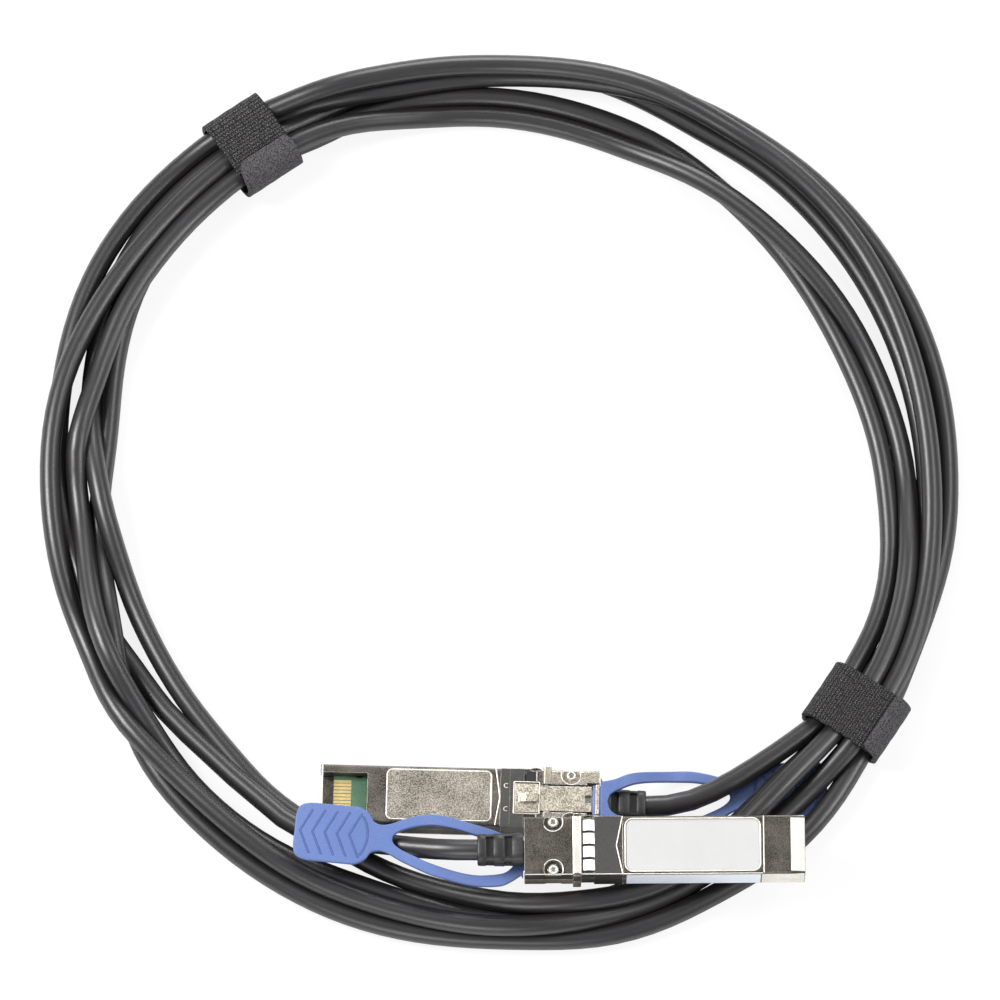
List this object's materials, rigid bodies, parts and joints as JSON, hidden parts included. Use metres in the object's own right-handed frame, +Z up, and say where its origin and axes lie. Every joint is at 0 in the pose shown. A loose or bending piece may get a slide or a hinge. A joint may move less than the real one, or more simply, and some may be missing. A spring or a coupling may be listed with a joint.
{
  "type": "direct attach copper cable",
  "caption": "Coiled twinaxial copper cable with a metal pluggable transceiver end, a sprung latch and a blue pull tab at each end, held by hook and loop ties.",
  "frame": {"origin": "on the surface, under the middle of the box round the two plugs and their pull tabs", "axes": "+Z up, +X along the plugs towards the front plug's nose, +Y towards the far side of the coil"},
  "size_m": [0.2073, 0.21, 0.0193],
  "materials": {
    "plated_casting": "nickel plated die casting, grainy satin",
    "bright_sheet": "bright stainless sheet",
    "plated_latch": "nickel plated, satin",
    "steel_parts": "satin steel",
    "green_board": "solder mask on glass fibre board",
    "gilded_pads": "gold plated",
    "ferrule_brass": "plain crimped",
    "wire_insulation": "smooth",
    "black_boot": "moulded, satin",
    "blue_plastic": "moulded, fine matt",
    "white_label": "matt printed film, bare",
    "pale_label": "matt film, bare",
    "cable_jacket": "extruded jacket, satin",
    "tie_fabric": "woven hook and loop"
  },
  "bodies": {
    "root": {"rear_base_shell": "plated_casting", "rear_top_shell": "plated_casting", "rear_shield_collar": "bright_sheet", "rear_circuit_board": "green_board", "rear_contact_pads": "gilded_pads", "rear_latch_pin": "steel_parts", "rear_latch_spring": "steel_parts", "rear_cover_screws": "steel_parts", "rear_crimp_ferrule": "ferrule_brass", "rear_conductors": "wire_insulation", "rear_strain_relief": "black_boot", "front_base_shell": "plated_casting", "front_top_shell": "plated_casting", "front_shield_collar": "bright_sheet", "front_circuit_board": "green_board", "front_contact_pads": "gilded_pads", "front_latch_pin": "steel_parts", "front_latch_spring": "steel_parts", "front_cover_screws": "steel_parts", "front_crimp_ferrule": "ferrule_brass", "front_conductors": "wire_insulation", "front_strain_relief": "black_boot", "front_top_label": "white_label", "front_side_label": "pale_label", "cable_lead_rear": "cable_jacket", "cable_lead_front": "cable_jacket", "cable_coil": "cable_jacket", "upper_left_tie": "tie_fabric", "lower_right_tie": "tie_fabric"},
    "rear_release": {"rear_release_slide": "steel_parts", "rear_pull_tab": "blue_plastic"},
    "rear_latch": {"rear_latch_lever": "plated_latch"},
    "front_release": {"front_release_slide": "steel_parts", "front_pull_tab": "blue_plastic"},
    "front_latch": {"front_latch_lever": "plated_latch"}
  },
  "joints": [
    {"name": "rear_tab_pull", "type": "slide", "parent": "root", "child": "rear_release", "axis": [0.9997, -0.0262, 0], "range_m": [0, 0.0025], "stiffness_N_per_m": 600},
    {"name": "rear_latch_rock", "type": "hinge", "parent": "root", "child": "rear_latch", "pos_m": [-0.00352, 0.00488, 0.00785], "axis": [-0.0262, -0.9997, 0], "range_deg": [0, 6.4], "deforming": ["rear_latch_spring"]},
    {"name": "front_tab_pull", "type": "slide", "parent": "root", "child": "front_release", "axis": [-1, -0.007, 0], "range_m": [0, 0.0025], "stiffness_N_per_m": 600},
    {"name": "front_latch_rock", "type": "hinge", "parent": "root", "child": "front_latch", "pos_m": [0.0035, -0.00865, 0.0115], "axis": [0.007, -1, 0], "range_deg": [0, 6.4], "deforming": ["front_latch_spring"]}
  ],
  "couplings": [
    {"joint": "rear_latch_rock", "follows": "rear_tab_pull", "rad_per_m": 44},
    {"joint": "front_latch_rock", "follows": "front_tab_pull", "rad_per_m": 44}
  ]
}
